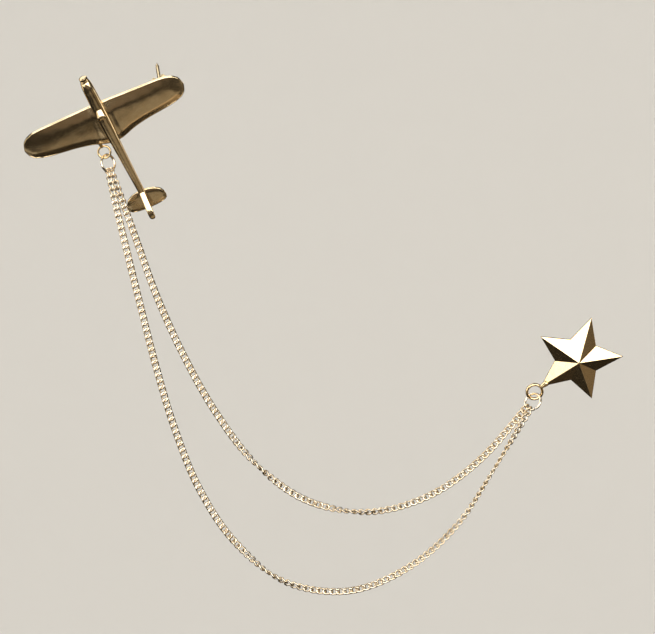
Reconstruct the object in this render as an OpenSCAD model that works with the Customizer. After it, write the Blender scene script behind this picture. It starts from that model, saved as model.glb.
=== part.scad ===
// Lapel chain: an aeroplane brooch and a star brooch joined by two curb chains.
// Millimetres. The origin is where the aeroplane's pin enters the cloth; +Z is up,
// +X runs to the star and the wearer's cloth is behind, on the +Y side.

/* [Aeroplane] */
// Wing tip to wing tip
wing_span = 42; // [34:0.5:56]
// Leading edge to trailing edge at the fuselage
wing_chord = 11.6; // [10:0.1:14]
// Thickest part of the wing, at the root
wing_t = 1.5; // [1.2:0.1:2]
// Wing's leading edge ahead of the middle of the wing, at the root
wing_lead = 4.1; // [3.7:0.1:4.6]
// Nose ahead of the middle of the wing
nose_len = 11.4; // [9:0.2:15]
// Tail end behind the middle of the wing
tail_len = 29.2; // [25:0.2:34]
// Fuselage width at its widest
fuselage_w = 2.9; // [2.4:0.1:3.6]
// Fuselage height at its highest
fuselage_h = 2.8; // [2.4:0.1:3.4]
// Nose cap's diameter
cap_d = 2.1; // [1.6:0.1:2.3]
// Nose cap's length
cap_len = 0.9; // [0.6:0.1:1.4]
// Windscreen's length along the fuselage
screen_len = 4.0; // [3:0.1:5]
// Windscreen's width
screen_w = 2.2; // [1.4:0.1:2.6]
// Windscreen's rise over the fuselage
screen_rise = 0.9; // [0.4:0.1:1.2]
// Tailplane, tip to tip
tailplane_span = 10.2; // [9:0.2:13]
// Tailplane, front to back at the root
tailplane_chord = 5.3; // [4:0.1:6]
// Tailplane's thickness
tailplane_t = 0.7; // [0.5:0.1:1]
// Fin's height over the wing's middle plane
fin_h = 4.2; // [3:0.1:5.5]
// Fin's length at its foot
fin_len = 7; // [5:0.1:8]
// Fin's thickness
fin_t = 1.5; // [0.8:0.1:1.8]
// Radius of the fin's top corner
fin_crown_r = 0.9; // [0.6:0.1:1.1]
// Eye's outer diameter
eye_d = 3.5; // [3.3:0.1:3.9]
// Eye's wire
eye_wire = 0.55; // [0.5:0.05:0.6]
// Diameter of the stem between the eye and the wing
eye_stem_d = 0.8; // [0.6:0.05:0.9]
// Eye's centre to the left of the fuselage's middle
eye_side = 3.8; // [3.5:0.1:4.3]
// Eye's centre behind the middle of the wing
eye_back = 8.8; // [8.5:0.1:9.2]

/* [Star] */
// Centre to the tip of an arm
star_r = 11; // [9:0.2:14]
// Centre to the notch between two arms
star_notch_r = 5.5; // [4.6:0.1:6.4]
// Height of the middle over the rim
star_rise = 2.8; // [2:0.1:4]
// Thickness of the rim
star_rim = 0.4; // [0.3:0.1:0.8]
// Eye's outer diameter
star_eye_d = 4.4; // [4.2:0.1:4.8]
// Eye's wall, across
star_eye_wall = 0.7; // [0.55:0.05:0.75]
// Eye's wall, front to back
star_eye_depth = 0.9; // [0.7:0.05:1]
// How far the eye laps over the point of its arm
star_eye_lap = 0.2; // [0:0.05:0.4]
// Neck's diameter where it meets the arm
star_neck_d = 1.8; // [1.4:0.1:2]
// Neck's length, from the middle of the eye's wall into the arm
star_neck_len = 2.4; // [2:0.1:3]

/* [Pins] */
// Post's diameter
post_d = 0.9; // [0.8:0.05:1.1]
// Post's length behind its pad, with the point
post_len = 10.7; // [7:0.1:12]
// Length of the point
point_len = 1.8; // [1.2:0.1:2.4]
// Pad's diameter
pad_d = 3.2; // [2.6:0.1:3.6]
// Pad's thickness
pad_t = 0.4; // [0.3:0.05:0.6]
// Glue between a pad and its brooch
glue_t = 0.05; // [0.03:0.01:0.1]
// Pin to the right of the fuselage's middle
pin_side = 15.8; // [12:0.2:17]
// Pin ahead of the middle of the wing
pin_ahead = 1.9; // [0:0.1:2.4]
// Scroll nut's length across both scrolls
nut_w = 3.4; // [3.2:0.1:4.4]
// Scroll nut's depth along its scrolls
nut_len = 2.2; // [1.8:0.1:3.4]
// Plate's brim outside each scroll
nut_brim = 0.3; // [0.1:0.05:0.5]
// Scroll nut's plate
nut_t = 0.35; // [0.3:0.05:0.5]
// Pad to the nut
nut_gap = 0.5; // [0.4:0.1:2]
// Clearance round the post in the nut
nut_play = 0.06; // [0.05:0.01:0.1]

/* [Jump rings] */
// Ring's outer diameter
ring_d = 4.8; // [4.6:0.1:5]
// Ring's wire
ring_wire = 0.6; // [0.5:0.05:0.65]
// Opening between the ring's ends, in degrees
ring_gap = 8; // [3:1:12]

/* [Chains] */
// Centre of one link to the centre of the next
pitch = 1.6; // [1.58:0.01:1.66]
// Wire of a link's round ends
link_wire = 0.42; // [0.38:0.01:0.43]
// Wire of a link's pressed sides
side_wire = 0.32; // [0.28:0.01:0.33]
// Link's middle to the middle of its side wire
link_half_w = 0.7; // [0.67:0.01:0.72]
// Twist of a link, as the rise of its side wire to each end
link_rise = 0.36; // [0.35:0.01:0.38]
// Play between two links, along the chain
link_play = 0.27; // [0.23:0.01:0.3]
// Play between an end link and its ring
hook_play = 0.2; // [0.15:0.01:0.25]

/* [Hidden] */
$fn = 32;

gold = "#d8c08a";
steel_gold = "#cdb98f";

// How each brooch hangs, as turns about X, Y and Z from its own frame. That frame has
// the brooch's face on +Z, its nose or top arm on +Y and its right side on +X.
aeroplane_pose = [124, -22.5, -6.5];
star_pose = [112, 13.2, 10.6];
// Where the star's pin enters the cloth
star_place = [100.1, 0, -66.0];

// Underside of the wing and middle of the fuselage, from the wing's middle plane
wing_back = 0.5;
body_mid = 0.9;
// Cloth to the back of a brooch
seat_lift = glue_t + pad_t;
// The aeroplane's pin where it enters the cloth, in the aeroplane's own frame
pin_seat = [pin_side, pin_ahead, -wing_back - seat_lift];
// The eye leans out of the wing's plane
eye_lean = -20;
// How far soldered and cast pieces run into each other
sunk = 0.3;
// Cover over the end of a link's side bar
cover = 0.015;
// Blunt tip of a post
tip_d = 0.12;
// Facets of a round section that is lofted, and steps over a wing
body_sides = 12;
wing_steps = 8;
// Steps between two points of a chain's route
bend_steps = 10;

// Columns: share of the half span, then lead, trail and thickness as shares of
// the root's lead, of the rest of the chord, and of wing_t.
wing_rows = [
    [0.00, 1.00, 1.00, 1.00],
    [0.12, 0.98, 0.93, 0.98],
    [0.24, 0.96, 0.77, 0.94],
    [0.42, 0.93, 0.67, 0.88],
    [0.60, 0.90, 0.60, 0.82],
    [0.76, 0.87, 0.54, 0.76],
    [0.87, 0.77, 0.47, 0.72],
    [0.94, 0.57, 0.38, 0.68],
    [0.98, 0.31, 0.24, 0.64],
    [1.00, -0.02, 0.08, 0.60]];

// Columns: share from nose to tail, then half width and height as shares of
// the fuselage's, drop of its middle in mm, and boxiness of its section, where 2 is round.
body_rows = [
    [0.000, 0.72, 0.72, 0.00, 2.2],
    [0.030, 0.90, 0.90, 0.00, 2.4],
    [0.100, 1.00, 0.98, 0.00, 2.8],
    [0.240, 1.00, 1.00, 0.00, 3.0],
    [0.330, 0.96, 1.00, 0.00, 3.0],
    [0.450, 0.84, 0.92, 0.02, 3.0],
    [0.600, 0.72, 0.80, 0.08, 3.0],
    [0.750, 0.62, 0.66, 0.16, 3.0],
    [0.880, 0.54, 0.54, 0.24, 3.0],
    [0.970, 0.40, 0.44, 0.30, 2.8],
    [1.000, 0.18, 0.24, 0.32, 2.4]];

// Columns: share of the half span, then front and back edges as shares of tailplane_chord.
tailplane_rows = [
    [0.00, 0.00, 1.00],
    [0.40, 0.06, 0.99],
    [0.72, 0.19, 0.94],
    [0.91, 0.37, 0.86],
    [0.98, 0.53, 0.77],
    [1.00, 0.66, 0.66]];

// How each jump ring hangs: its tilt and yaw, the way its middle lies from the eye's, and
// the play between their wires. The hooks say where the chains hold it, the upper one first.
aeroplane_ring_turn = [81, 0, 45];
aeroplane_ring_way = [0.30, 0.15, -0.94];
aeroplane_ring_play = 0.16;
aeroplane_ring_hooks = [-62, -101];
aeroplane_ring_split = -36;
star_ring_turn = [68, 0, -34];
star_ring_way = [-0.17, 0, -0.985];
star_ring_play = 0.85;
star_ring_hooks = [-140, -100];
star_ring_split = -60;

// Chosen points of the two chains between their rings, as [x, z].
upper_route = [[-6.3, -36.9], [-1.0, -51.4], [5.5, -65.6], [13.1, -79.0], [22.5, -91.2],
               [35.0, -100.3], [50.2, -103.1], [65.0, -99.0], [77.5, -89.9]];
lower_route = [[-9.0, -37.5], [-5.2, -52.8], [-1.3, -67.9], [3.2, -82.8], [9.1, -97.3], [17.7, -110.2],
               [29.9, -119.9], [45.2, -122.1], [59.5, -116.5], [71.2, -106.3], [79.8, -93.4]];
// Roll of the links along each chain: share of its length, then degrees from face on. It grows from
// end to end, since a curb chain turns freely one way and binds the other.
upper_roll = [[0.00, -60], [0.06, -20], [0.12, -8], [0.44, 0], [0.48, 42], [0.515, 92], [0.55, 158],
              [0.60, 172], [0.63, 205], [0.67, 268], [0.70, 318], [0.74, 338], [0.80, 350],
              [0.90, 352], [1.00, 338]];
lower_roll = [[0.00, -60], [0.05, -20], [0.10, -8], [0.48, 0], [0.52, 40], [0.555, 90], [0.59, 140],
              [0.62, 166], [0.70, 192], [0.74, 210], [0.79, 220], [0.82, 232], [0.85, 252],
              [0.93, 276], [1.00, 330]];

function unit(v) = v / norm(v);
function turn(a) = let(cx = cos(a.x), sx = sin(a.x), cy = cos(a.y), sy = sin(a.y),
        cz = cos(a.z), sz = sin(a.z))
    [[cz*cy, cz*sy*sx - sz*cx, cz*sy*cx + sz*sx],
     [sz*cy, sz*sy*sx + cz*cx, sz*sy*cx - cz*sx],
     [-sy, cy*sx, cy*cx]];

// Skin over rings of points, each ring with as many points as the next.
module loft(rings) {
    n = len(rings[0]);
    m = len(rings);
    points = [for (ring = rings) each ring];
    sides = [for (i = [0:m-2]) for (j = [0:n-1]) let(k = (j + 1) % n)
        each [[i*n + j, (i + 1)*n + k, i*n + k], [i*n + j, (i + 1)*n + j, (i + 1)*n + k]]];
    ends = [[for (j = [0:n-1]) j], [for (j = [n-1:-1:0]) (m - 1)*n + j]];
    polyhedron(points, concat(sides, ends), convexity = 6);
}

// Brooches

function wing_ring(side, row) = let(
        x = side * row[0] * wing_span / 2,
        lead = row[1] * wing_lead,
        trail = -row[2] * (wing_chord - wing_lead),
        rim = 0.45 * wing_t,
        crown = row[3] * wing_t - rim,
        top = [for (i = [0:wing_steps]) let(c = (1 - cos(180 * i / wing_steps)) / 2)
            [x, lead + (trail - lead) * c, rim - wing_back + crown * pow(4 * c * (1 - c), 0.7)]])
    concat([[x, lead, -wing_back]], top, [[x, trail, -wing_back]]);

module wings() {
    rows = len(wing_rows);
    loft([for (i = [rows-1:-1:1]) wing_ring(-1, wing_rows[i]), for (row = wing_rows) wing_ring(1, row)]);
}

function body_ring(row) =
    [for (i = [0:body_sides-1]) let(a = 360 * i / body_sides + 90,
        box = pow(pow(abs(cos(a)), row[4]) + pow(abs(sin(a)), row[4]), -1 / row[4]))
        [row[1] * fuselage_w / 2 * cos(a) * box,
         nose_len - row[0] * (nose_len + tail_len),
         body_mid - row[3] + row[2] * fuselage_h / 2 * sin(a) * box]];

module fuselage() {
    loft([for (row = body_rows) body_ring(row)]);
    translate([0, nose_len - sunk, body_mid]) rotate([-90, 0, 0]) cylinder(d = cap_d, h = cap_len + sunk);
}

module windscreen() {
    top = body_mid + fuselage_h / 2;
    foot = top - 2 * sunk;
    translate([0, 0.05 * screen_len, 0]) rotate([90, 0, 90]) linear_extrude(screen_w, center = true)
        polygon([[0, foot], [0.22 * screen_len, top + screen_rise], [0.35 * screen_len, top + screen_rise],
                 [screen_len, foot]]);
}

module tailplane() {
    front = fin_len - tail_len;
    half = tailplane_span / 2;
    edge = [for (row = tailplane_rows) [row[0] * half, front - row[1] * tailplane_chord]];
    back = [for (i = [len(tailplane_rows)-2:-1:0]) let(row = tailplane_rows[i])
        [row[0] * half, front - row[2] * tailplane_chord]];
    right = concat(edge, back);
    left = [for (i = [len(right)-2:-1:1]) [-right[i].x, right[i].y]];
    linear_extrude(tailplane_t) polygon(concat(right, left));
}

module fin() {
    back = -tail_len;
    front = back + fin_len;
    rotate([90, 0, 90]) linear_extrude(fin_t, center = true) union() {
        polygon([[back + sunk, body_mid - 2 * sunk], [front, body_mid], [front, body_mid + 2 * sunk],
                 [back + 0.3 * fin_len, fin_h], [back + fin_crown_r, fin_h], [back, fin_h - fin_crown_r]]);
        translate([back + fin_crown_r, fin_h - fin_crown_r]) circle(fin_crown_r);
    }
}

// Wing's trailing edge behind the middle of the wing, at a distance from the fuselage
function wing_trail(x) = (wing_chord - wing_lead)
    * lookup(2 * x / wing_span, [for (row = wing_rows) [row[0], row[2]]]);

module aeroplane_eye() {
    mid_r = (eye_d - eye_wire) / 2;
    stem_len = eye_back - mid_r - wing_trail(eye_side) + 2 * sunk;
    translate([-eye_side, -eye_back, 0]) {
        rotate([eye_lean, 0, 0]) rotate_extrude() translate([mid_r, 0]) circle(d = eye_wire);
        rotate([-90, 0, 0]) translate([0, 0, mid_r]) cylinder(d = eye_stem_d, h = stem_len);
    }
}

module aeroplane_frame() rotate(aeroplane_pose) translate(-pin_seat) children();

module aeroplane() {
    color(gold) aeroplane_frame() {
        wings();
        fuselage();
        windscreen();
        tailplane();
        fin();
        aeroplane_eye();
    }
}

star_arm = 234;
star_eye_reach = star_r + star_eye_d / 2 - star_eye_lap;
star_eye_lift = star_eye_depth / 2;

module star_body() {
    rim = [for (i = [0:9]) let(r = i % 2 == 0 ? star_r : star_notch_r, a = 90 + 36 * i)
        [r * cos(a), r * sin(a)]];
    points = [for (p = rim) [p.x, p.y, 0], for (p = rim) [p.x, p.y, star_rim], [0, 0, star_rise], [0, 0, 0]];
    faces = [for (i = [0:9]) let(k = (i + 1) % 10)
        each [[i, 10 + i, 10 + k], [i, 10 + k, k], [10 + i, 20, 10 + k], [i, k, 21]]];
    polyhedron(points, faces);
}

module star_eye() {
    mid_r = (star_eye_d - star_eye_wall) / 2;
    rotate(star_arm) translate([star_eye_reach, 0, star_eye_lift]) {
        rotate_extrude() translate([mid_r, 0]) {
            square([star_eye_wall, star_eye_depth - star_eye_wall], center = true);
            for (s = [-1, 1]) translate([0, s * (star_eye_depth - star_eye_wall) / 2])
                circle(d = star_eye_wall);
        }
        translate([-mid_r, 0, 0]) rotate([0, -90, 0])
            cylinder(d1 = star_eye_wall, d2 = star_neck_d, h = star_neck_len);
    }
}

module star_frame() translate(star_place) rotate(star_pose) children();

module star() {
    color(gold) star_frame() translate([0, 0, seat_lift]) {
        star_body();
        star_eye();
    }
}

// Pins

module tack_pin() {
    cylinder(d = pad_d, h = pad_t);
    translate([0, 0, point_len - post_len]) cylinder(d = post_d, h = post_len - point_len + pad_t / 2);
    translate([0, 0, -post_len]) cylinder(d1 = tip_d, d2 = post_d, h = point_len);
}

module scroll_nut() {
    scroll_d = nut_w / 2 - post_d / 2 - nut_play;
    scroll_drop = 0.4 * scroll_d;
    translate([0, 0, -nut_gap - nut_t]) difference() {
        union() {
            linear_extrude(nut_t) square([nut_w + 2 * nut_brim, nut_len], center = true);
            for (s = [-1, 1]) translate([s * (nut_w - scroll_d) / 2, nut_len / 2, -scroll_drop])
                rotate([90, 0, 0]) cylinder(d = scroll_d, h = nut_len);
        }
        translate([0, 0, -scroll_d]) cylinder(d = post_d + 2 * nut_play, h = scroll_d + 2 * nut_t);
    }
}

module aeroplane_pin() { color(steel_gold) rotate(aeroplane_pose) tack_pin(); }
module aeroplane_pin_nut() { color(steel_gold) rotate(aeroplane_pose) scroll_nut(); }
module star_pin() { color(steel_gold) star_frame() tack_pin(); }
module star_pin_nut() { color(steel_gold) star_frame() scroll_nut(); }

// Jump rings

ring_mid_r = (ring_d - ring_wire) / 2;
aeroplane_eye_at = turn(aeroplane_pose) * ([-eye_side, -eye_back, 0] - pin_seat);
aeroplane_ring_at = aeroplane_eye_at + unit(aeroplane_ring_way)
    * ((eye_d - eye_wire) / 2 + ring_mid_r - (eye_wire + ring_wire) / 2 - aeroplane_ring_play);
star_eye_at = star_place + turn(star_pose)
    * [star_eye_reach * cos(star_arm), star_eye_reach * sin(star_arm), seat_lift + star_eye_lift];
star_ring_at = star_eye_at + unit(star_ring_way)
    * ((star_eye_d - star_eye_wall) / 2 + ring_mid_r - (star_eye_wall + ring_wire) / 2 - star_ring_play);

module jump_ring(at, turned, split) {
    color(gold) translate(at) rotate(turned) rotate(split + ring_gap / 2)
        rotate_extrude(angle = 360 - ring_gap) translate([ring_mid_r, 0]) circle(d = ring_wire);
}

module aeroplane_jump_ring() { jump_ring(aeroplane_ring_at, aeroplane_ring_turn, aeroplane_ring_split); }
module star_jump_ring() { jump_ring(star_ring_at, star_ring_turn, star_ring_split); }

// Chains

// A link's middle to the middle of its bows' wire
link_reach = (pitch + link_wire + link_play) / 2;
// An end link's bow lies inside the ring's wire, and its route starts half a hook further out
hook_r = ring_mid_r - ring_wire / 2 - hook_play + link_play / 2;
function hook(at, turned, angle) = at + turn(turned) * [hook_r * cos(angle), hook_r * sin(angle), 0];

// Points between p[i] and p[i + 1] of a smooth curve through all of p
function bend(p, i, t) = let(a = p[max(i-1, 0)], b = p[i], c = p[i+1], d = p[min(i+2, len(p)-1)])
    (2*b + (c - a)*t + (2*a - 5*b + 4*c - d)*t*t + (3*b - a - 3*c + d)*t*t*t) / 2;
// Length along p to each of its points
function running(p) = [for (i = 0, s = 0; i < len(p);
    s = s + (i + 1 < len(p) ? norm(p[i+1] - p[i]) : 0), i = i + 1) s];
function column(s, p, k) = [for (i = [0:len(p)-1]) [s[i], p[i][k]]];

bow_r = norm([link_half_w, link_rise]);

module end_bow() {
    translate([link_reach - bow_r, 0, 0]) rotate([atan(link_rise / link_half_w), 0, 0])
        rotate(-90) rotate_extrude(angle = 180) translate([bow_r, 0]) circle(d = link_wire);
}

module side_bar() {
    reach = link_reach - bow_r;
    lean = atan(link_rise / reach);
    // How far the bar runs into each bow, so that its end is covered
    inset = side_wire / 2 * tan(lean) + cover;
    translate([0, link_half_w, 0]) rotate([0, 90 - lean, 0])
        cylinder(d = side_wire, h = 2 * (norm([reach, link_rise]) + inset), center = true);
}

// A curb link along X, with its two ends twisted opposite ways
module curb_link() {
    union() {
        for (s = [0, 180]) rotate([0, s, 0]) end_bow();
        for (s = [0, 180]) rotate([s, 0, 0]) side_bar();
    }
}

module curb_chain(start, route, end, roll) {
    count = len(route) + 1;
    deep = (end.y - start.y) / count;
    stops = concat([start], [for (i = [1:count-1]) [route[i-1].x, start.y + deep * i, route[i-1].y]], [end]);
    path = [for (i = [0:count-1]) for (k = [0:bend_steps-1]) bend(stops, i, k / bend_steps), end];
    s = running(path);
    xs = column(s, path, 0);
    ys = column(s, path, 1);
    zs = column(s, path, 2);
    full = s[len(s) - 1];
    links = round(full / pitch);
    joints = [for (i = [0:links]) let(at = full * i / links)
        [lookup(at, xs), lookup(at, ys), lookup(at, zs)]];
    for (i = [0:links-1]) {
        along = unit(joints[i+1] - joints[i]);
        across = unit(cross([0, -1, 0], along));
        face = cross(along, across);
        a = lookup((i + 0.5) / links, roll);
        up = face * cos(a) + across * sin(a);
        wide = cross(up, along);
        mid = (joints[i] + joints[i+1]) / 2;
        multmatrix([[along.x, wide.x, up.x, mid.x],
                    [along.y, wide.y, up.y, mid.y],
                    [along.z, wide.z, up.z, mid.z]]) curb_link();
    }
}

module chain_upper() {
    color(gold) curb_chain(hook(aeroplane_ring_at, aeroplane_ring_turn, aeroplane_ring_hooks[0]), upper_route,
        hook(star_ring_at, star_ring_turn, star_ring_hooks[0]), upper_roll);
}

module chain_lower() {
    color(gold) curb_chain(hook(aeroplane_ring_at, aeroplane_ring_turn, aeroplane_ring_hooks[1]), lower_route,
        hook(star_ring_at, star_ring_turn, star_ring_hooks[1]), lower_roll);
}

aeroplane();
aeroplane_pin();
aeroplane_pin_nut();
star();
star_pin();
star_pin_nut();
aeroplane_jump_ring();
star_jump_ring();
chain_upper();
chain_lower();
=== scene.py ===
import math

import bpy
import numpy as np
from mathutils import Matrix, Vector


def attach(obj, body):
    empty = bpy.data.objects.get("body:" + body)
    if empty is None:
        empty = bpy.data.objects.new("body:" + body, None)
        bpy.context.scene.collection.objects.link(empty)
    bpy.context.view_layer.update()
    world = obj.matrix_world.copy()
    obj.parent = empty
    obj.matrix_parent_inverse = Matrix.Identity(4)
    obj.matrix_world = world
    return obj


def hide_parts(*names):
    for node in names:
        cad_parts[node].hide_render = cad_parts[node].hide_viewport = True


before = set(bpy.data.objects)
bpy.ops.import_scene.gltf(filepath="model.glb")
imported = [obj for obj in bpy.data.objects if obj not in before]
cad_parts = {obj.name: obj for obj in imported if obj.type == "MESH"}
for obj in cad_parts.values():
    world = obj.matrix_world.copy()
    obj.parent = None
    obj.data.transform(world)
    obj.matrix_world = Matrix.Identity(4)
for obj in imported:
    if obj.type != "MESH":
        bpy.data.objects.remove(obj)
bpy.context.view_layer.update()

mm = 0.001
print("frame loaded:", ", ".join(sorted(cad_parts)))


# Numbers and turns

def linear(hexColour):
    # an sRGB hex colour as the linear values that a shader takes
    parts = np.array([int(hexColour[i:i + 2], 16) for i in (1, 3, 5)]) / 255
    return (*np.where(parts <= 0.04045, parts / 12.92, ((parts + 0.055) / 1.055) ** 2.4), 1.0)


def unit(v):
    # each vector divided by its own length
    return v / np.linalg.norm(v, axis=-1, keepdims=True)


def turned(degrees):
    # the matrix of a turn about X, then Y, then Z
    (cx, cy, cz), (sx, sy, sz) = np.cos(np.radians(degrees)), np.sin(np.radians(degrees))
    return np.array([[cz * cy, cz * sy * sx - sz * cx, cz * sy * cx + sz * sx],
                     [sz * cy, sz * sy * sx + cz * cx, sz * sy * cx - cz * sx],
                     [-sy, cy * sx, cy * cx]])


def placed(points, at=(0, 0, 0), degrees=(0, 0, 0)):
    # points turned about the origin, then moved
    return points @ turned(degrees).T + np.asarray(at, float)


def smoothTable(at, keys, values):
    # a cubic through the table's values, with each slope taken from the neighbours on both sides
    keys, values = np.asarray(keys, float), np.asarray(values, float)
    slopes = np.gradient(values, keys)
    i = np.clip(np.searchsorted(keys, at, side="right") - 1, 0, len(keys) - 2)
    span = keys[i + 1] - keys[i]
    t = (at - keys[i]) / span
    return ((1 + 2 * t) * (1 - t) ** 2 * values[i] + t * (1 - t) ** 2 * span * slopes[i]
            + t * t * (3 - 2 * t) * values[i + 1] + t * t * (t - 1) * span * slopes[i + 1])


def unevenness(x, y, size, depth):
    # a cast skin's slow waves: three crossed sines, size mm from crest to crest
    k = 2 * math.pi / size
    return depth / 3 * (np.sin(k * (x + 0.3 * y)) + np.sin(k * 0.83 * (y - 0.4 * x) + 1.7)
                        + np.sin(k * 1.31 * (0.7 * x + 0.7 * y) + 4.1))


# Skins: a skin is its points in mm, its four-sided faces and its triangles

def gridQuads(rows, cols, wrapRows):
    # the faces between neighbouring points of a grid whose rows are closed; wrapRows joins the last
    # row to the first
    r, c = np.meshgrid(np.arange(rows if wrapRows else rows - 1), np.arange(cols), indexing="ij")
    r, c = r.ravel(), c.ravel()
    below, beside = (r + 1) % rows, (c + 1) % cols
    return np.stack([r * cols + c, r * cols + beside, below * cols + beside, below * cols + c], 1)


def skin(rings, loop=False):
    # rings of points joined side by side; an open row of rings gets a fan over each end
    rows, cols = rings.shape[:2]
    points, quads = rings.reshape(-1, 3), gridQuads(rows, cols, wrapRows=loop)
    if loop:
        return points, quads, np.zeros((0, 3), int)
    points = np.vstack([points, rings[0].mean(0), rings[-1].mean(0)])
    c = np.arange(cols)
    d = (c + 1) % cols
    first = np.stack([d, c, np.full(cols, rows * cols)], 1)
    last = np.stack([c + (rows - 1) * cols, d + (rows - 1) * cols, np.full(cols, rows * cols + 1)], 1)
    return points, quads, np.vstack([first, last])


def outwards(points, quads, tris):
    # turns every face round if the skin's signed volume says that they look inwards
    every = np.vstack([quads[:, [0, 1, 2]], quads[:, [0, 2, 3]], tris])
    a, b, c = points[every[:, 0]], points[every[:, 1]], points[every[:, 2]]
    if np.einsum("ij,ij->", a, np.cross(b, c)) < 0:
        return points, quads[:, ::-1], tris[:, ::-1]
    return points, quads, tris


def lathe(profile, sides, arc=None, profileCloses=True):
    # a profile of (radius, height) pairs turned about Z, all round or through an arc in degrees
    profile = np.asarray(profile, float)
    a = np.radians(np.linspace(*arc, sides)) if arc else np.arange(sides) * 2 * math.pi / sides
    rings = np.stack([np.outer(np.cos(a), profile[:, 0]), np.outer(np.sin(a), profile[:, 0]),
                      np.tile(profile[:, 1], (sides, 1))], 2)
    if profileCloses:
        return skin(rings, loop=arc is None)
    return skin(rings.transpose(1, 0, 2))


def movedSkin(part, at=(0, 0, 0), degrees=(0, 0, 0)):
    # a skin turned about the origin, then moved, with its faces as they were
    return placed(part[0], at, degrees), part[1], part[2]


def camelName(node):
    # a node's name as one word, such as starJumpRing from star_jump_ring
    return "".join(word.title() if i else word for i, word in enumerate(node.split("_")))


def addPiece(name, skins, node, material, sharpAngle=32):
    # joins the skins into one mesh in metres, gives it its material and puts it in the frame
    starts = np.cumsum([0] + [len(p) for p, q, t in skins])
    turnedOut = [outwards(*s) for s in skins]
    points = np.vstack([p for p, q, t in turnedOut]) * mm
    faces = [f for (p, q, t), s in zip(turnedOut, starts) for f in (q + s).tolist() + (t + s).tolist()]
    mesh = bpy.data.meshes.new(name)
    mesh.from_pydata(points.tolist(), [], faces)
    mesh.polygons.foreach_set("use_smooth", np.ones(len(mesh.polygons), bool))
    mesh.set_sharp_from_angle(angle=math.radians(sharpAngle))
    mesh.materials.append(material)
    piece = bpy.data.objects.new(name, mesh)
    bpy.context.scene.collection.objects.link(piece)
    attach(piece, "root")
    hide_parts(node)
    print("made", name, "with", len(faces), "faces")
    return piece


# Materials

def addNode(tree, kind, values=None, links=None, **settings):
    # one shader node with its settings, the values of its sockets and what feeds them
    node = tree.nodes.new(kind)
    for setting, value in settings.items():
        setattr(node, setting, value)
    for socket, value in (values or {}).items():
        node.inputs[socket].default_value = value
    for socket, source in (links or {}).items():
        tree.links.new(source, node.inputs[socket])
    return node


giltCastingLook = {
    "gold": "#f7dfb4",          # pale gilt, where the plating is thick
    "thinGold": "#efd4a6",      # a browner patch, where it is thin
    "patch": 3.2,               # mm across a patch
    "roughness": (0.13, 0.24),  # polished by tumbling, so neither matt nor a mirror
    "grain": 0.35,              # mm across the cast grain that is left under the polish
    "grainDepth": 0.012,        # mm
}
giltWireLook = {
    "gold": "#faf0de",
    "thinGold": "#ecdabd",
    "patch": 1.6,
    "roughness": (0.14, 0.26),
    "grain": 0.12,              # mm across the fine marks that drawing the wire leaves
    "grainDepth": 0.003,
}
pinLook = {
    "gold": "#eed7ab",
    "thinGold": "#c9b184",
    "patch": 1.2,
    "roughness": (0.20, 0.34),  # plated but never polished, so duller than the rest
    "grain": 0.10,
    "grainDepth": 0.003,
}


def giltMetal(name, look, ownTone=False):
    # electroplated gilt over cast or drawn metal: patches of tone, uneven polish, fine grain;
    # with ownTone each link's own value darkens or lightens its patches
    material = bpy.data.materials.new(name)
    material.use_nodes = True
    tree = material.node_tree
    tree.nodes.clear()
    place = addNode(tree, "ShaderNodeTexCoord").outputs["Object"]
    patches = addNode(tree, "ShaderNodeTexNoise", {"Scale": 1 / (look["patch"] * mm), "Detail": 3.0,
                                                   "Roughness": 0.55}, {"Vector": place})
    tone = addNode(tree, "ShaderNodeMix", {"A": linear(look["thinGold"]), "B": linear(look["gold"])},
                   data_type="RGBA")
    spread = addNode(tree, "ShaderNodeMapRange", {"From Min": 0.30, "From Max": 0.62},
                     {"Value": patches.outputs["Fac"]})
    factor = spread.outputs["Result"]
    if ownTone:
        own = addNode(tree, "ShaderNodeAttribute", attribute_name="tone")
        factor = addNode(tree, "ShaderNodeMath", links={0: factor, 1: own.outputs["Fac"]},
                         operation="MULTIPLY").outputs["Value"]
    tree.links.new(factor, tone.inputs["Factor"])
    grain = addNode(tree, "ShaderNodeTexNoise", {"Scale": 1 / (look["grain"] * mm), "Detail": 4.0,
                                                 "Roughness": 0.6}, {"Vector": place})
    polish = addNode(tree, "ShaderNodeMapRange", {"From Min": 0.25, "From Max": 0.75,
                                                  "To Min": look["roughness"][0],
                                                  "To Max": look["roughness"][1]},
                     {"Value": grain.outputs["Fac"]})
    bump = addNode(tree, "ShaderNodeBump", {"Strength": 0.5, "Distance": look["grainDepth"] * mm},
                   {"Height": grain.outputs["Fac"]})
    shader = addNode(tree, "ShaderNodeBsdfPrincipled", {"Metallic": 1.0},
                     {"Base Color": [s for s in tone.outputs if s.type == "RGBA"][0],
                      "Roughness": polish.outputs["Result"], "Normal": bump.outputs["Normal"]})
    addNode(tree, "ShaderNodeOutputMaterial", links={"Surface": shader.outputs["BSDF"]})
    return material


giltCasting = giltMetal("gilt_zinc_casting", giltCastingLook)
giltWire = giltMetal("gilt_brass_wire", giltWireLook)
giltLinks = giltMetal("gilt_pressed_links", giltWireLook, ownTone=True)
giltPin = giltMetal("gilt_steel_pin", pinLook)
print("materials made")


# The aeroplane: a casting with its face on +Z, its nose on +Y and its right wing on +X; sizes in mm

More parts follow.
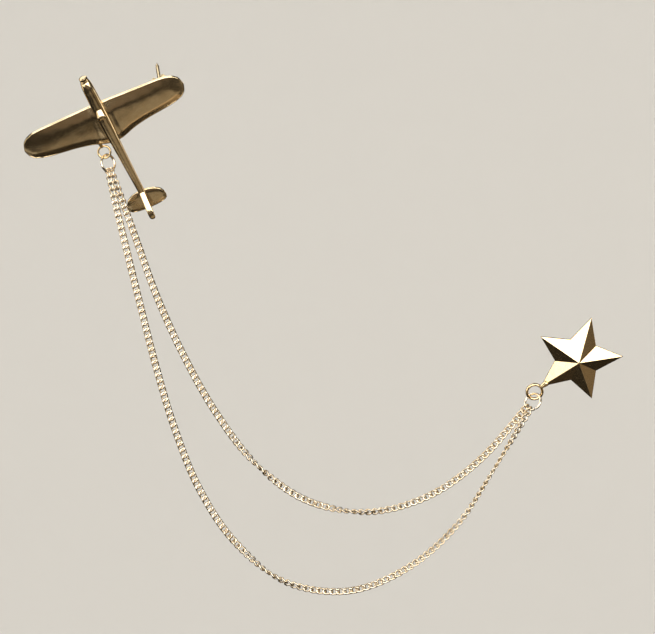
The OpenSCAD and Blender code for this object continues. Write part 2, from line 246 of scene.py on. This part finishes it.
aeroplane = {
    "pose": (124, -22.5, -6.5),     # degrees about X, Y and Z
    "pinSeat": (15.8, 1.9, -0.95),  # where its pin's pad is seated
    "eye": (-3.8, -8.8, 0.0), "eyeOuter": 3.5, "eyeWire": 0.55, "eyeDeep": 0.75, "eyeLean": -20,
    # the radius of the eye's stem, and how far past the eye's wire it is
    "stem": [(0.28, -0.15), (0.34, 0.1), (0.42, 0.5), (0.5, 1.3)],
    # the nose cap's radius and height, with its groove
    "cap": [(1.05, -0.4), (1.05, -0.02), (0.95, 0.05), (0.95, 0.15), (1.04, 0.22), (1.04, 0.70), (1.0, 0.80),
            (0.9, 0.87), (0.5, 0.9)],
    # a thicker strip of wing along each side of the fuselage: rise, half width and softness
    "strip": (0.12, 2.35, 0.06),
}
fuselage = {
    "nose": 11.4, "tail": 29.2, "wide": 2.9, "high": 2.8, "middle": 0.9, "rings": 100, "sides": 60,
    "ridge": 0.05,  # rise of the low ridge along its top
    # share from nose to tail, half width and height as shares, drop in mm, boxiness of the section
    "table": [(0.000, 0.72, 0.50, 0.00, 2.2), (0.018, 0.86, 0.76, 0.00, 2.6), (0.040, 0.94, 0.91, 0.00, 3.0),
              (0.100, 1.00, 0.98, 0.00, 3.4), (0.240, 1.00, 1.00, 0.00, 3.8), (0.330, 0.96, 1.00, 0.00, 4.4),
              (0.450, 0.84, 0.92, 0.02, 5.0), (0.600, 0.72, 0.80, 0.08, 5.0), (0.750, 0.62, 0.66, 0.16, 5.0),
              (0.880, 0.54, 0.54, 0.24, 4.0), (0.970, 0.40, 0.44, 0.30, 3.0), (1.000, 0.18, 0.24, 0.32, 2.4)],
}
windscreen = {
    "start": 0.2, "length": 4.0, "depth": 1.1, "rings": 30, "corners": 21,
    # share of the length from its rear to its front, and the height over the fuselage's top
    "high": [(0, -0.5), (0.05, -0.22), (0.20, 0.74), (0.28, 0.90), (0.36, 0.92), (0.46, 0.80), (1, -0.5)],
    "halfWide": [(0, 0.70), (0.20, 1.16), (0.35, 1.20), (0.45, 1.12), (1, 0.60)],
}
fin = {
    "halfThick": 0.75, "low": 0.3, "high": 4.0, "slices": 34, "sides": 44,
    "backRound": 0.9, "roundFrom": 3.3,
    # height, and how far the front lies from the tail's end
    "front": [(0.3, 7.1), (1.5, 7.0), (3.6, 3.3), (3.9, 2.7), (4.1, 2.15), (4.19, 1.6)],
    # the softened top: height, and how far it is drawn in
    "top": [(4.07, 0.02), (4.13, 0.07), (4.17, 0.14), (4.19, 0.26)],
}
wing = {
    "half": 21.0, "lead": 4.1, "trail": -7.5, "start": 0.0, "thick": 1.5, "base": -0.5, "rim": 0.62,
    "stations": 150, "steps": 56,
    "frontBand": 2.6,  # mm of even slope behind the leading edge
    "rearBand": 1.2,   # mm of steeper slope ahead of the trailing edge
    "bead": 0.11,      # radius of the thin bead along the edge
    # share of the half span, then lead, trail and thickness as shares of their sizes at the root
    "table": [(0.00, 1.00, 0.97, 1.00), (0.12, 0.98, 0.91, 0.98), (0.24, 0.96, 0.79, 0.94),
              (0.42, 0.93, 0.67, 0.88), (0.60, 0.90, 0.60, 0.82), (0.76, 0.87, 0.54, 0.76),
              (0.87, 0.77, 0.46, 0.72), (0.94, 0.57, 0.36, 0.68), (0.98, 0.31, 0.21, 0.64),
              (1.00, -0.02, 0.04, 0.60)],
}
tailplane = {
    "half": 5.1, "lead": -5.3, "trail": -5.3, "start": -22.2, "thick": 0.72, "base": 0.0, "rim": 0.4,
    "stations": 64, "steps": 30, "frontBand": 0.7, "rearBand": 0.8, "bead": 0.09,
    "table": [(0.00, 0.00, 1.00, 1), (0.40, 0.06, 0.99, 1), (0.72, 0.19, 0.94, 1), (0.91, 0.37, 0.86, 1),
              (0.98, 0.53, 0.77, 0.95), (1.00, 0.64, 0.68, 0.9)],
}
foilFace = {
    "lipRise": 0.12, "lipRun": 0.16,  # the rounded lip at the leading edge
    "longestClimb": 1.6,              # as a share of the front band's rise
    "fall": 0.62,                     # share of the crown that the rear band falls
    "dip": 0.42, "dipRun": 3.6,       # how much the level part sinks to the rear, over how many rear bands
    "softness": (0.13, 0.04, 0.03),   # of the corners at the front, at the rear and where they meet
    "wave": 3.4, "waveDepth": 0.012,
}


def edgeDistance(x, y, edge):
    # shortest distance from each point of a grid to an edge's points, one station at a time
    return np.array([np.sqrt(((np.stack([xs, ys], 1)[:, None] - edge[None]) ** 2).sum(2).min(1))
                     for xs, ys in zip(x, y)])


def lesser(a, b, soft):
    # the lesser of two heights, with the corner between them rounded
    return -soft * np.logaddexp(-a / soft, -b / soft)


def foil(f, strip=None):
    # a cast plate with a flat back, a low wall and a thin bead round it; its face climbs from the
    # leading edge at an even slope, runs nearly level and falls more steeply to the trailing edge
    look, table = foilFace, np.array(f["table"])

    def edgeAt(share, column, size):
        return f["start"] + size * smoothTable(share, table[:, 0], table[:, column])

    share = np.sin(np.radians(np.linspace(-89.2, 89.2, f["stations"])))
    lead, trail = (edgeAt(abs(share), k, size) for k, size in ((1, f["lead"]), (2, f["trail"])))
    thick = f["thick"] * smoothTable(abs(share), table[:, 0], table[:, 3])[:, None]
    c = (1 - np.cos(np.linspace(0, math.pi, f["steps"]))) / 2
    y = lead[:, None] + (trail - lead)[:, None] * c
    x = np.repeat(f["half"] * share[:, None], f["steps"], 1)
    fine = np.sin(np.radians(np.linspace(-90, 90, 900)))
    fromLead, fromTrail = (edgeDistance(x, y, np.stack([f["half"] * fine, edgeAt(abs(fine), k, size)], 1))
                           for k, size in ((1, f["lead"]), (2, f["trail"])))
    crown = thick - f["rim"]
    lip = look["lipRise"] * np.sqrt(1 - np.clip(1 - fromLead / look["lipRun"], 0, 1) ** 2)
    climb = lip + (crown - look["lipRise"]) * np.minimum(fromLead / f["frontBand"], look["longestClimb"])
    fall = look["fall"] * crown * fromTrail / f["rearBand"]
    nearRear = np.clip(1 - fromTrail / (look["dipRun"] * f["rearBand"]), 0, 1)
    level = crown * (1 - look["dip"] * nearRear ** 2)
    frontSoft, rearSoft, meetSoft = look["softness"]
    height = lesser(lesser(climb, level, frontSoft), lesser(fall, level, rearSoft), meetSoft)
    near = np.minimum(fromLead, fromTrail)
    bead = f["bead"] * np.sqrt(np.clip(1 - ((near - f["bead"]) / f["bead"]) ** 2, 0, 1))
    face = f["base"] + f["rim"] + np.maximum(height, bead * (near < 2 * f["bead"]))
    face = face + unevenness(x, y, look["wave"], look["waveDepth"])
    if strip:
        rise, half, soft = strip
        face = face + rise / (1 + np.exp((abs(x) - half) / soft))
    top = np.stack([x, y, face], 2)
    under, behind = (np.stack([x[:, k], y[:, k], np.full(len(x), f["base"])], 1)[:, None] for k in (0, -1))
    return skin(np.concatenate([under, top, behind, (under + behind) / 2], 1))


def fuselageSkin():
    # rings from nose to tail, each a rounded box: the higher its power, the flatter its sides
    f, table = fuselage, np.array(fuselage["table"])
    share = (1 - np.cos(np.linspace(0, math.pi, f["rings"]))) / 2
    wide, high, drop, box = (smoothTable(share, table[:, 0], table[:, k])[:, None] for k in (1, 2, 3, 4))
    t = np.arange(f["sides"]) * 2 * math.pi / f["sides"] + math.pi / 2
    reach = (abs(np.cos(t)) ** box + abs(np.sin(t)) ** box) ** (-1 / box)
    x = wide * f["wide"] / 2 * np.cos(t) * reach
    ridge = f["ridge"] * np.clip(1 - abs(x) / (0.7 * wide * f["wide"] / 2), 0, 1) * (np.sin(t) > 0)
    z = f["middle"] - drop + high * f["high"] / 2 * np.sin(t) * reach + ridge
    y = (f["nose"] - share * (f["nose"] + f["tail"]))[:, None]
    return skin(np.stack([x, np.repeat(y, f["sides"], 1), z + unevenness(x, y, 2.6, 0.01)], 2))


def windscreenSkin():
    # a low canopy of arches: a long sloping pane, a short top and a rear that narrows to a point
    w = windscreen
    v = np.linspace(0, 1, w["rings"])
    top = fuselage["middle"] + fuselage["high"] / 2
    high, halfWide = (np.interp(v, *zip(*w[key]))[:, None] for key in ("high", "halfWide"))
    s = np.linspace(-math.pi / 2, math.pi / 2, w["corners"])
    across, crest = np.sign(np.sin(s)) * abs(np.sin(s)) ** 0.5, abs(np.cos(s)) ** 0.45
    low = top - w["depth"]
    y = np.repeat((w["start"] + w["length"] * v)[:, None], w["corners"], 1)
    return skin(np.stack([halfWide * across, y, low + (top + high - low) * crest], 2))


def finSkin():
    # the fin in level slices: a flat front, a round back and a softened top
    n = fin
    topHigh, topDraw = zip(*n["top"])
    z = np.concatenate([np.linspace(n["low"], n["high"], n["slices"]), topHigh])
    draw = np.concatenate([np.zeros(n["slices"]), topDraw])[:, None]
    back = -fuselage["tail"]
    front = back + np.interp(z, *zip(*n["front"]))
    past = np.clip(z - n["roundFrom"], 0, None)
    rear = back + n["backRound"] - np.sqrt(np.clip(n["backRound"] ** 2 - past ** 2, 0, None))
    t = np.arange(n["sides"]) * 2 * math.pi / n["sides"]
    c, s = np.cos(t), np.sin(t)
    power = np.where(s > 0, 0.28, 0.75)
    x, y = np.sign(c) * abs(c) ** power, np.sign(s) * abs(s) ** power
    middleY, halfY = ((front + rear) / 2)[:, None], ((front - rear) / 2)[:, None]
    return skin(np.stack([(n["halfThick"] - draw) * x, middleY + (halfY - draw) * y,
                          np.repeat(z[:, None], n["sides"], 1)], 2))


def stadium(mid, wall, deep, corners=20):
    # an eye's section: a flat-sided oval, as (radius, height) pairs
    a = np.radians((np.arange(corners) + 0.5) * 360 / corners)
    return np.stack([mid + wall / 2 * np.cos(a),
                     wall / 2 * np.sin(a) + (deep - wall) / 2 * np.sign(np.sin(a))], 1)


def aeroplaneSkins():
    # every part of the casting in its own place, then all of them turned as it is worn
    a = aeroplane
    cap = lathe(a["cap"], 40, profileCloses=False)
    mid = (a["eyeOuter"] - a["eyeWire"]) / 2
    eye = lathe(stadium(mid, a["eyeWire"], a["eyeDeep"]), 56)
    stem = lathe(np.array(a["stem"]) + (0, mid), 24, profileCloses=False)
    parts = [foil(wing, a["strip"]), foil(tailplane), fuselageSkin(),
             movedSkin(cap, (0, fuselage["nose"], fuselage["middle"]), (-90, 0, 0)),
             windscreenSkin(), finSkin(),
             movedSkin(eye, a["eye"], (a["eyeLean"], 0, 0)), movedSkin(stem, a["eye"], (-90, 0, 0))]
    return [movedSkin(p, placed(-np.array(a["pinSeat"]), degrees=a["pose"]), a["pose"]) for p in parts]


addPiece("aeroplaneCasting", aeroplaneSkins(), "aeroplane", giltCasting)


# The star: its face on +Z and its top arm on +Y; sizes in mm

star = {
    "pose": (112, 13.2, 10.6), "place": (100.1, 0, -66.0),
    "lift": 0.45,  # from its pin's seat to its back
    "tipR": 11.0, "notchR": 5.5, "rise": 2.8, "rim": 0.4,
    "arm": 234,    # degrees to the arm that carries the eye
    "eyeOuter": 4.4, "eyeWall": 0.7, "eyeDepth": 0.9, "eyeLap": 0.2,
    # the flared neck's radius, and how far it is from the eye's wall
    "neck": [(0.45, 0), (0.50, 0.4), (0.60, 0.9), (0.69, 1.35), (0.71, 1.7), (0.62, 1.95), (0.35, 2.1)],
    "softEdge": 0.07, "softAngle": 22,  # width of its worn edges, and the degrees that make an edge
}
starArm = math.radians(star["arm"])
starEyeReach = star["tipR"] + star["eyeOuter"] / 2 - star["eyeLap"]
starEye = np.array([starEyeReach * math.cos(starArm), starEyeReach * math.sin(starArm), star["eyeDepth"] / 2])


def starSkins():
    # ten rim points at two radii, joined to a peak above and a middle below; then the eye and neck
    s = star
    i = np.arange(10)
    k = (i + 1) % 10
    turns = np.radians(90 + 36 * i)
    r = np.where(i % 2 == 0, s["tipR"], s["notchR"])
    rim = np.stack([r * np.cos(turns), r * np.sin(turns)], 1)
    layers = [np.column_stack([rim, np.full(10, h)]) for h in (0, s["rim"])]
    points = np.vstack([*layers, [[0, 0, s["rise"]], [0, 0, 0]]])
    walls = np.stack([i, k, 10 + k, 10 + i], 1)
    tris = np.vstack([np.stack([10 + i, 10 + k, np.full(10, 20)], 1), np.stack([k, i, np.full(10, 21)], 1)])
    mid = (s["eyeOuter"] - s["eyeWall"]) / 2
    eye = lathe(stadium(mid, s["eyeWall"], s["eyeDepth"]), 64)
    neck = movedSkin(lathe(s["neck"], 28, profileCloses=False), (-mid, 0, 0.12), (0, -90, 0))
    hung = [movedSkin(movedSkin(p, degrees=(0, 0, s["arm"])), starEye) for p in (eye, neck)]
    return [movedSkin(movedSkin(p, (0, 0, s["lift"])), s["place"], s["pose"])
            for p in [(points, walls, tris), *hung]]


starPiece = addPiece("starCasting", starSkins(), "star", giltCasting, sharpAngle=25)
softEdges = starPiece.modifiers.new("softEdges", "BEVEL")
softEdges.width, softEdges.segments = star["softEdge"] * mm, 2
softEdges.limit_method, softEdges.angle_limit = "ANGLE", math.radians(star["softAngle"])
softEdges.harden_normals = True


# The jump rings: open rings of round wire that hang in the two eyes

jumpRing = {"outer": 4.8, "wire": 0.6, "gap": 8}  # mm, mm and degrees
ringMid = (jumpRing["outer"] - jumpRing["wire"]) / 2
# each ring's eye, its own turn, the way it hangs, the play in mm, and its hooks and split in degrees
ringHangs = {
    "aeroplane_jump_ring": {
        "eye": placed(np.array(aeroplane["eye"]) - aeroplane["pinSeat"], degrees=aeroplane["pose"]),
        "outer": aeroplane["eyeOuter"], "wall": aeroplane["eyeWire"],
        "turn": (81, 0, 45), "way": (0.30, 0.15, -0.94), "play": 0.16, "hooks": (-62, -101), "split": -36},
    "star_jump_ring": {
        "eye": placed(starEye + (0, 0, star["lift"]), star["place"], star["pose"]),
        "outer": star["eyeOuter"], "wall": star["eyeWall"],
        "turn": (68, 0, -34), "way": (-0.17, 0, -0.985), "play": 0.85, "hooks": (-140, -100), "split": -60},
}


def wireSection(middle, wire, corners=16):
    # a round wire's section, as (radius, height) pairs
    a = np.arange(corners) * 2 * math.pi / corners
    return np.stack([middle + wire / 2 * np.cos(a), wire / 2 * np.sin(a)], 1)


for node, h in ringHangs.items():
    reach = (h["outer"] - h["wall"]) / 2 + ringMid - (h["wall"] + jumpRing["wire"]) / 2 - h["play"]
    h["at"] = h["eye"] + unit(np.array(h["way"])) * reach
    arc = (h["split"] + jumpRing["gap"] / 2, h["split"] + 360 - jumpRing["gap"] / 2)
    ring = movedSkin(lathe(wireSection(ringMid, jumpRing["wire"]), 72, arc=arc), h["at"], h["turn"])
    addPiece(camelName(node), [ring], node, giltWire, sharpAngle=50)


# The chains: pressed curb links, each laid along its route and rolled; sizes in mm and degrees

link = {
    "pitch": 1.6, "wire": 0.42, "halfWide": 0.63, "rise": 0.30, "play": 0.27, "hookPlay": 0.2,
    "bow": (-90, -52, -18, 18, 52, 90),
    "flat": [(1, 0), (0.6, 1), (-0.6, 1), (-1, 0), (-0.6, -1), (0.6, -1)],  # pressed section of its wire
    "bowSize": (0.27, 0.20), "sideSize": (0.24, 0.17),  # half its width and half its thickness
}
# each route's stops in X and Z, and the roll by share of the strand
chains = {
    "chain_upper": {
        "hook": 0,
        "route": [(-6.3, -36.9), (-1.0, -51.4), (5.5, -65.6), (13.1, -79.0), (22.5, -91.2),
                  (35.0, -100.3), (50.2, -103.1), (65.0, -99.0), (77.5, -89.9)],
        "roll": [(0, -60), (0.06, -20), (0.12, -8), (0.44, 0), (0.48, 42), (0.515, 92), (0.55, 158),
                 (0.60, 172), (0.63, 205), (0.67, 268), (0.70, 318), (0.74, 338), (0.80, 350),
                 (0.90, 352), (1, 338)]},
    "chain_lower": {
        "hook": 1,
        "route": [(-9.0, -37.5), (-5.2, -52.8), (-1.3, -67.9), (3.2, -82.8), (9.1, -97.3),
                  (17.7, -110.2), (29.9, -119.9), (45.2, -122.1), (59.5, -116.5), (71.2, -106.3),
                  (79.8, -93.4)],
        "roll": [(0, -60), (0.05, -20), (0.10, -8), (0.48, 0), (0.52, 40), (0.555, 90), (0.59, 140),
                 (0.62, 166), (0.70, 192), (0.74, 210), (0.79, 220), (0.82, 232), (0.85, 252),
                 (0.93, 276), (1, 330)]},
}


def linkSkin():
    # one link along X: two half-round bows twisted opposite ways, joined by thinner sides
    reach = (link["pitch"] + link["wire"] + link["play"]) / 2
    bow = math.hypot(link["halfWide"], link["rise"])
    t = np.radians(link["bow"])
    right = np.stack([reach - bow + bow * np.cos(t), link["halfWide"] * np.sin(t),
                      link["rise"] * np.sin(t)], 1)
    left = (right * (-1, 1, -1))[::-1]
    line = np.vstack([right, left])
    atSide = (abs(np.concatenate([t, t])) > 1.4)[:, None]
    size = np.where(atSide, link["sideSize"], link["bowSize"])
    tangent = unit(np.roll(line, -1, 0) - np.roll(line, 1, 0))
    side = unit(np.cross(tangent, (0, 0, 1)))
    top = np.cross(side, tangent)
    flat = size[:, None] * np.array(link["flat"])
    ring = line[:, None] + flat[..., :1] * side[:, None] + flat[..., 1:] * top[:, None]
    return skin(ring, loop=True)


def hookPoint(h, hook):
    # where a chain's end link hooks the ring, with half a link's play further in
    r = ringMid - jumpRing["wire"] / 2 - link["hookPlay"] + link["play"] / 2
    a = math.radians(h["hooks"][hook])
    return placed(np.array([r * math.cos(a), r * math.sin(a), 0]), h["at"], h["turn"])


def smoothPath(stops, steps=10):
    # a curve through every stop, each stretch bent by the stops on both sides
    a, b = stops[np.maximum(np.arange(len(stops) - 1) - 1, 0)], stops[:-1]
    c, d = stops[1:], stops[np.minimum(np.arange(1, len(stops)) + 1, len(stops) - 1)]
    t = (np.arange(steps) / steps)[None, :, None]
    a, b, c, d = (v[:, None] for v in (a, b, c, d))
    bent = (2 * b + (c - a) * t + (2 * a - 5 * b + 4 * c - d) * t ** 2
            + (3 * b - a - 3 * c + d) * t ** 3) / 2
    return np.vstack([bent.reshape(-1, 3), stops[-1]])


def chainSkin(chain):
    # the route cut into even steps, and a link laid from each joint to the next with its roll
    first, last = (hookPoint(h, chain["hook"]) for h in ringHangs.values())
    route = np.array(chain["route"])
    deep = first[1] + (last[1] - first[1]) * np.arange(1, len(route) + 1) / (len(route) + 1)
    path = smoothPath(np.vstack([first, np.column_stack([route[:, 0], deep, route[:, 1]]), last]))
    run = np.concatenate([[0], np.cumsum(np.linalg.norm(np.diff(path, axis=0), axis=1))])
    count = round(run[-1] / link["pitch"])
    at = run[-1] * np.arange(count + 1) / count
    joints = np.stack([np.interp(at, run, path[:, k]) for k in range(3)], 1)
    along = unit(np.diff(joints, axis=0))
    across = unit(np.cross((0, -1, 0), along))
    face = np.cross(along, across)
    roll = np.array(chain["roll"])
    a = np.radians(np.interp((np.arange(count) + 0.5) / count, roll[:, 0], roll[:, 1]))[:, None]
    up = face * np.cos(a) + across * np.sin(a)
    frames = np.stack([along, np.cross(up, along), up], 1)
    points, quads, tris = linkSkin()
    laid = points @ frames + ((joints[1:] + joints[:-1]) / 2)[:, None]
    step = (np.arange(count) * len(points))[:, None, None]
    return laid.reshape(-1, 3), (quads + step).reshape(-1, 4), tris, count


chance = np.random.default_rng(7)
for node, chain in chains.items():
    *chainParts, count = chainSkin(chain)
    piece = addPiece(camelName(node), [chainParts], node, giltLinks, sharpAngle=75)
    # each link has its own tone
    tones = np.repeat(chance.random(count), len(chainParts[0]) // count)
    piece.data.attributes.new("tone", "FLOAT", "POINT").data.foreach_set("value", tones)
    print(node, "has", count, "links")


# The tack pins and scroll nuts: the post runs down -Z from its pad, and the nut grips it there

tackPin = {
    "postR": 0.45, "length": 10.7, "point": 1.8, "padR": 1.6, "padThick": 0.4,
    # distance from the point's start, and radius under the post's: the notch that the nut's spring finds
    "notch": [(0.9, 0), (0.82, 0.07), (0.55, 0.07), (0.47, 0)],
}
scrollNut = {"wide": 3.4, "deep": 2.2, "brim": 0.3, "plate": 0.35, "gap": 0.5, "hole": 0.51, "strip": 0.24,
             "bevel": 0.07, "sides": 64,
             "coils": 1.2, "tighten": 0.30, "steps": 44}  # turns of the scroll, and mm that it closes up


def pinSkin():
    # a turned pad and post, with the notch in the post and a point at its end
    r, long, pad, thick = tackPin["postR"], tackPin["length"], tackPin["padR"], tackPin["padThick"]
    neck = long - tackPin["point"]
    notch = [(r - cut, up - neck) for up, cut in tackPin["notch"]]
    return lathe([(0.5, thick), (pad - 0.14, thick), (pad - 0.04, thick - 0.04), (pad, thick - 0.13),
                  (pad, 0.12), (pad - 0.04, 0.04), (pad - 0.14, 0), (r + 0.1, 0), (r, -0.1), *notch,
                  (r, -neck), (0.08, -long + 0.08), (0.03, -long)], 40, profileCloses=False)


def nutSkins():
    # a plate with a hole, and a strip at each end of it rolled up into a scroll
    n, sides, steps = scrollNut, scrollNut["sides"], scrollNut["steps"]
    a = np.arange(sides) * 2 * math.pi / sides
    halfX, halfY = n["wide"] / 2 + n["brim"], n["deep"] / 2
    box = (abs(np.cos(a)) ** 9 + abs(np.sin(a)) ** 9) ** (-1 / 9)
    hole = np.stack([n["hole"] * np.cos(a), n["hole"] * np.sin(a)], 1)
    top, bottom, bevel = -n["gap"], -n["gap"] - n["plate"], n["bevel"]
    rings = [np.column_stack([(halfX - inset) * np.cos(a) * box, (halfY - inset) * np.sin(a) * box,
                              np.full(sides, z)])
             for inset, z in ((bevel, top), (0, top - bevel), (0, bottom + bevel), (bevel, bottom))]
    rings = [np.column_stack([hole, np.full(sides, top)]), *rings,
             np.column_stack([hole, np.full(sides, bottom)])]
    scrollR = (n["wide"] / 2 - n["hole"]) / 2
    t = np.linspace(0, 1, steps)
    turn = math.pi / 2 - t * n["coils"] * 2 * math.pi
    r = scrollR - n["strip"] / 2 - n["tighten"] * t
    middleX, middleZ = n["hole"] + scrollR, bottom - 0.8 * scrollR
    parts = [skin(np.array(rings), loop=True)]
    for side in (1, -1):
        strip = []
        for out, along in ((1, -1), (1, 1), (-1, 1), (-1, -1)):
            reach = r + out * n["strip"] / 2
            strip.append(np.stack([side * (middleX + reach * np.cos(turn)), np.full(steps, along * halfY),
                                   middleZ + reach * np.sin(turn)], 1))
        parts.append(skin(np.stack(strip, 1)))
    return parts


pinPlaces = {"aeroplane": ((0, 0, 0), aeroplane["pose"]), "star": (star["place"], star["pose"])}
for brooch, (at, pose) in pinPlaces.items():
    addPiece(brooch + "Pin", [movedSkin(pinSkin(), at, pose)], brooch + "_pin", giltPin)
    addPiece(brooch + "PinNut", [movedSkin(p, at, pose) for p in nutSkins()], brooch + "_pin_nut",
             giltPin)


# Stage, lights and camera; sizes and places in metres

sceneLook = {
    "middle": (0.04018, 0.0, -0.05613),  # what the camera looks at
    "far": 0.8,                          # camera's distance
    "photoWide": 0.1572,                 # width of the view there, for a picture of 655 by 634
    "floorDown": 0.62,                   # from the frame's origin down to the floor
    "paper": "#d3d2d0",
    "dimAir": "#e8d6b8", "dimStrength": 0.025,
}
middle = np.array(sceneLook["middle"])


def plainStage():
    # a round room in one sweep: floor, curved corner and wall, far outside the piece
    corner = [(1.2 + 0.4 * math.sin(a), 0.4 - 0.4 * math.cos(a)) for a in np.linspace(0, math.pi / 2, 12)]
    profile = [(0.02, 0.0), (0.6, 0.0), *corner, (1.6, 1.6), (1.3, 2.0), (0.02, 2.1)]
    points, quads, tris = outwards(*lathe(profile, 64, profileCloses=False))
    points = points + (middle[0], 0, -sceneLook["floorDown"])
    mesh = bpy.data.meshes.new("stageRoom")
    # its faces look inwards, so they are turned round
    mesh.from_pydata(points.tolist(), [], quads[:, ::-1].tolist() + tris[:, ::-1].tolist())
    mesh.polygons.foreach_set("use_smooth", np.ones(len(mesh.polygons), bool))
    room = bpy.data.objects.new("stageRoom", mesh)
    bpy.context.scene.collection.objects.link(room)
    paint = bpy.data.materials.new("matt_pale_paper")
    paint.use_nodes = True
    shader = paint.node_tree.nodes["Principled BSDF"]
    shader.inputs["Base Color"].default_value = linear(sceneLook["paper"])
    shader.inputs["Roughness"].default_value = 0.95
    mesh.materials.append(paint)
    room.visible_glossy = False
    room.visible_shadow = False


def around(azimuth, elevation, far):
    # a point round the middle: azimuth 0 is in front, on -Y, and 90 is on +X
    a, e = math.radians(azimuth), math.radians(elevation)
    return middle + far * np.array([math.sin(a) * math.cos(e), -math.cos(a) * math.cos(e), math.sin(e)])


def softbox(name, azimuth, elevation, far, wide, high, radiance, hexColour):
    # a flat light that faces the middle; its power is radiance times its area times pi
    light = bpy.data.lights.new(name, "AREA")
    light.shape, light.size, light.size_y = "RECTANGLE", wide, high
    light.energy = radiance * wide * high * math.pi
    light.color = linear(hexColour)[:3]
    lamp = bpy.data.objects.new(name, light)
    bpy.context.scene.collection.objects.link(lamp)
    lamp.location = around(azimuth, elevation, far)
    lamp.rotation_euler = Vector(lamp.location - Vector(middle)).to_track_quat("Z", "Y").to_euler()
    lamp.visible_camera = False


# name, azimuth, elevation, distance, width, height, radiance and colour
softboxes = [
    ("frontBox", 6, 8, 1.2, 1.76, 0.94, 3.6, "#fffcf6"),        # the broad white one behind the camera
    ("lowLeftBox", -36, -23, 1.3, 0.42, 0.40, 2.4, "#fffaf0"),  # the cream on the star's lower left
    ("rightBox", 95, -4, 1.2, 0.36, 0.46, 2.2, "#fff6e8"),      # the bright line along the fuselage
    ("leftBox", -82, 20, 1.2, 0.9, 1.0, 3.0, "#fff8ec"),        # the left sides of the rings and links
    ("topBox", -140, 56, 1.2, 0.9, 0.8, 1.4, "#ffffff"),        # the leading edges, from behind
    ("crownBox", 0, 62, 1.2, 1.2, 0.5, 0.85, "#ffffff"),        # the same edges, from in front
    ("lowCard", 33, -62, 1.2, 0.50, 0.42, 0.25, "#ffeed2"),     # the olive of the wings' faces
    ("chinCard", 0, -34, 1.2, 0.8, 0.36, 0.11, "#ffe2c4"),      # the browner band at their front
    ("warmCard", 62, -70, 1.2, 0.30, 0.30, 0.32, "#ffdcae"),    # the tan at their rear
    ("tailCard", 155, -57, 1.2, 0.5, 0.5, 0.22, "#ffe2c4"),     # a little brown on their rear bands
    ("sideCard", 64, -34, 1.2, 0.72, 0.52, 0.21, "#f8dcb6"),    # the star's brown faces
    ("underCard", -20, -70, 1.2, 0.22, 0.16, 0.55, "#fff6e6"),  # the thin line along the fuselage's left
    ("ringCard", -94, -22, 1.2, 0.5, 0.5, 1.3, "#fff6e6"),      # the undersides of the star's eye and rings
    ("strandBox", -62, -14, 1.25, 0.5, 0.5, 1.6, "#fffaf0"),    # the left sides of the hanging strands
    ("strandCard", 60, 15, 1.25, 0.5, 0.5, 0.4, "#ffeed2"),     # their browner right sides
    ("backBox", 180, 10, 1.4, 1.2, 0.9, 0.8, "#ffffff"),        # the backs, which the photo doesn't show
]
plainStage()
for box in softboxes:
    softbox(*box)

world = bpy.data.worlds.new("dimRoom")
world.use_nodes = True
air = world.node_tree.nodes["Background"]
air.inputs["Color"].default_value = linear(sceneLook["dimAir"])
air.inputs["Strength"].default_value = sceneLook["dimStrength"]
bpy.context.scene.world = world
bpy.context.scene.view_settings.view_transform = "Standard"
print("stage made, with", len(softboxes), "lights")

camera = bpy.data.cameras.new("photoCamera")
camera.sensor_width = 36
camera.lens = camera.sensor_width * sceneLook["far"] / sceneLook["photoWide"]
eyePoint = bpy.data.objects.new("photoCamera", camera)
bpy.context.scene.collection.objects.link(eyePoint)
eyePoint.location = around(0, 0, sceneLook["far"])
eyePoint.rotation_euler = (math.pi / 2, 0, 0)
bpy.context.scene.camera = eyePoint
print("camera set")
